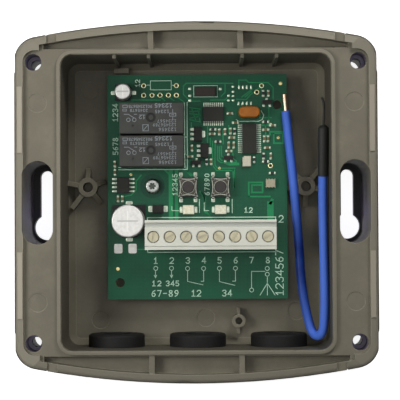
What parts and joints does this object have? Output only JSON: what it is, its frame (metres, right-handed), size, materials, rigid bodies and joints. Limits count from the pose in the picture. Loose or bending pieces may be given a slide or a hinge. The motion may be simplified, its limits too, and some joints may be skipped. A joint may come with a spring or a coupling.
{
  "type": "radio receiver",
  "caption": "Open wall-mounted radio receiver box with circuit board, screw terminals, relays, push buttons, cable grommets and wire antenna.",
  "frame": {"origin": "centre of the flat back face of the box", "axes": "+Z out of the open face, +Y towards the edge away from the cable grommets, +X to the right when looking into the box"},
  "size_m": [0.1084, 0.108, 0.0323],
  "materials": {
    "housing": "fine matt, paler at the edges",
    "grommet_rubber": "matt",
    "screw_steel": "zinc plated",
    "cage_metal": "zinc plated",
    "relay_base": "matt",
    "relay_cover": "fine matt",
    "relay_coil": "enamelled wire",
    "relay_iron": "plated",
    "contact_metal": "tinned",
    "switch_body": "matt",
    "switch_plate": "plain",
    "switch_plunger": "matt",
    "switch_dome": "plain",
    "board": "solder mask, semi-gloss",
    "terminal_plastic": "satin",
    "can": "satin",
    "capacitor_base": "matt",
    "lamp": "cloudy",
    "chip_body": "matt",
    "resonator": "dipped",
    "crystal_case": "satin",
    "cream_ceramic": "ceramic",
    "passive": "ceramic with tinned ends",
    "wire_insulation": "smooth",
    "copper": "bare copper",
    "sleeve": "shrunk tube"
  },
  "bodies": {
    "case": {"base_housing": "housing", "cable_grommet_left": "grommet_rubber", "cable_grommet_middle": "grommet_rubber", "cable_grommet_right": "grommet_rubber", "circuit_board": "board", "board_screw": "screw_steel", "terminal_housing": "terminal_plastic", "terminal_pins": "contact_metal", "relay_1_base": "relay_base", "relay_1_cover": "relay_cover", "relay_1_coil": "relay_coil", "relay_1_yoke": "relay_iron", "relay_1_contacts": "contact_metal", "relay_2_base": "relay_base", "relay_2_cover": "relay_cover", "relay_2_coil": "relay_coil", "relay_2_yoke": "relay_iron", "relay_2_contacts": "contact_metal", "capacitor_can_large": "can", "capacitor_can_small": "can", "capacitor_bases": "capacitor_base", "switch_1_body": "switch_body", "switch_1_cover_plate": "switch_plate", "switch_1_dome": "switch_dome", "switch_2_body": "switch_body", "switch_2_cover_plate": "switch_plate", "switch_2_dome": "switch_dome", "indicator_leds": "lamp", "driver_chip": "chip_body", "logic_chip": "chip_body", "receiver_chip": "chip_body", "chip_leads": "contact_metal", "ceramic_resonator": "resonator", "crystal": "crystal_case", "ceramic_filters": "cream_ceramic", "small_semiconductors": "chip_body", "chip_passives": "passive", "antenna_wire": "wire_insulation", "antenna_core": "copper", "antenna_sleeve": "sleeve"},
    "terminal_screw_1": {"terminal_screw_1": "screw_steel"},
    "terminal_clamp_1": {"terminal_clamp_1": "cage_metal"},
    "terminal_screw_2": {"terminal_screw_2": "screw_steel"},
    "terminal_clamp_2": {"terminal_clamp_2": "cage_metal"},
    "terminal_screw_3": {"terminal_screw_3": "screw_steel"},
    "terminal_clamp_3": {"terminal_clamp_3": "cage_metal"},
    "terminal_screw_4": {"terminal_screw_4": "screw_steel"},
    "terminal_clamp_4": {"terminal_clamp_4": "cage_metal"},
    "terminal_screw_5": {"terminal_screw_5": "screw_steel"},
    "terminal_clamp_5": {"terminal_clamp_5": "cage_metal"},
    "terminal_screw_6": {"terminal_screw_6": "screw_steel"},
    "terminal_clamp_6": {"terminal_clamp_6": "cage_metal"},
    "terminal_screw_7": {"terminal_screw_7": "screw_steel"},
    "terminal_clamp_7": {"terminal_clamp_7": "cage_metal"},
    "terminal_screw_8": {"terminal_screw_8": "screw_steel"},
    "terminal_clamp_8": {"terminal_clamp_8": "cage_metal"},
    "switch_1_plunger": {"switch_1_plunger": "switch_plunger"},
    "switch_2_plunger": {"switch_2_plunger": "switch_plunger"},
    "relay_1_armature": {"relay_1_armature": "relay_iron"},
    "relay_2_armature": {"relay_2_armature": "relay_iron"}
  },
  "joints": [
    {"name": "terminal_screw_1_turn", "type": "hinge", "parent": "case", "child": "terminal_screw_1", "pos_m": [-0.01325, -0.0104, 0.018], "axis": [0, 0, -1], "range_deg": [0, 1440]},
    {"name": "terminal_clamp_1_lift", "type": "slide", "parent": "case", "child": "terminal_clamp_1", "axis": [0, 0, 1], "range_m": [0, 0.00179]},
    {"name": "terminal_screw_2_turn", "type": "hinge", "parent": "case", "child": "terminal_screw_2", "pos_m": [-0.00825, -0.0104, 0.018], "axis": [0, 0, -1], "range_deg": [0, 1440]},
    {"name": "terminal_clamp_2_lift", "type": "slide", "parent": "case", "child": "terminal_clamp_2", "axis": [0, 0, 1], "range_m": [0, 0.00179]},
    {"name": "terminal_screw_3_turn", "type": "hinge", "parent": "case", "child": "terminal_screw_3", "pos_m": [-0.00325, -0.0104, 0.018], "axis": [0, 0, -1], "range_deg": [0, 1440]},
    {"name": "terminal_clamp_3_lift", "type": "slide", "parent": "case", "child": "terminal_clamp_3", "axis": [0, 0, 1], "range_m": [0, 0.00179]},
    {"name": "terminal_screw_4_turn", "type": "hinge", "parent": "case", "child": "terminal_screw_4", "pos_m": [0.00175, -0.0104, 0.018], "axis": [0, 0, -1], "range_deg": [0, 1440]},
    {"name": "terminal_clamp_4_lift", "type": "slide", "parent": "case", "child": "terminal_clamp_4", "axis": [0, 0, 1], "range_m": [0, 0.00179]},
    {"name": "terminal_screw_5_turn", "type": "hinge", "parent": "case", "child": "terminal_screw_5", "pos_m": [0.00675, -0.0104, 0.018], "axis": [0, 0, -1], "range_deg": [0, 1440]},
    {"name": "terminal_clamp_5_lift", "type": "slide", "parent": "case", "child": "terminal_clamp_5", "axis": [0, 0, 1], "range_m": [0, 0.00179]},
    {"name": "terminal_screw_6_turn", "type": "hinge", "parent": "case", "child": "terminal_screw_6", "pos_m": [0.01175, -0.0104, 0.018], "axis": [0, 0, -1], "range_deg": [0, 1440]},
    {"name": "terminal_clamp_6_lift", "type": "slide", "parent": "case", "child": "terminal_clamp_6", "axis": [0, 0, 1], "range_m": [0, 0.00179]},
    {"name": "terminal_screw_7_turn", "type": "hinge", "parent": "case", "child": "terminal_screw_7", "pos_m": [0.01675, -0.0104, 0.018], "axis": [0, 0, -1], "range_deg": [0, 1440]},
    {"name": "terminal_clamp_7_lift", "type": "slide", "parent": "case", "child": "terminal_clamp_7", "axis": [0, 0, 1], "range_m": [0, 0.00179]},
    {"name": "terminal_screw_8_turn", "type": "hinge", "parent": "case", "child": "terminal_screw_8", "pos_m": [0.02175, -0.0104, 0.018], "axis": [0, 0, -1], "range_deg": [0, 1440]},
    {"name": "terminal_clamp_8_lift", "type": "slide", "parent": "case", "child": "terminal_clamp_8", "axis": [0, 0, 1], "range_m": [0, 0.00179]},
    {"name": "switch_1_press", "type": "slide", "parent": "case", "child": "switch_1_plunger", "axis": [0, 0, -1], "range_m": [0, 0.00025], "stiffness_N_per_m": 4000, "deforming": ["switch_1_dome"]},
    {"name": "switch_2_press", "type": "slide", "parent": "case", "child": "switch_2_plunger", "axis": [0, 0, -1], "range_m": [0, 0.00025], "stiffness_N_per_m": 4000, "deforming": ["switch_2_dome"]},
    {"name": "relay_1_swing", "type": "hinge", "parent": "case", "child": "relay_1_armature", "pos_m": [-0.0102, 0.0259, 0.0186], "axis": [0, 1, 0], "range_deg": [0, 4], "stiffness_Nm_per_rad": 0.004, "springref_deg": -2.86},
    {"name": "relay_2_swing", "type": "hinge", "parent": "case", "child": "relay_2_armature", "pos_m": [-0.0102, 0.01585, 0.0186], "axis": [0, 1, 0], "range_deg": [0, 4], "stiffness_Nm_per_rad": 0.004, "springref_deg": -2.86}
  ],
  "couplings": [
    {"joint": "terminal_screw_1_turn", "follows": "terminal_clamp_1_lift", "rad_per_m": 13963},
    {"joint": "terminal_screw_2_turn", "follows": "terminal_clamp_2_lift", "rad_per_m": 13963},
    {"joint": "terminal_screw_3_turn", "follows": "terminal_clamp_3_lift", "rad_per_m": 13963},
    {"joint": "terminal_screw_4_turn", "follows": "terminal_clamp_4_lift", "rad_per_m": 13963},
    {"joint": "terminal_screw_5_turn", "follows": "terminal_clamp_5_lift", "rad_per_m": 13963},
    {"joint": "terminal_screw_6_turn", "follows": "terminal_clamp_6_lift", "rad_per_m": 13963},
    {"joint": "terminal_screw_7_turn", "follows": "terminal_clamp_7_lift", "rad_per_m": 13963},
    {"joint": "terminal_screw_8_turn", "follows": "terminal_clamp_8_lift", "rad_per_m": 13963}
  ]
}
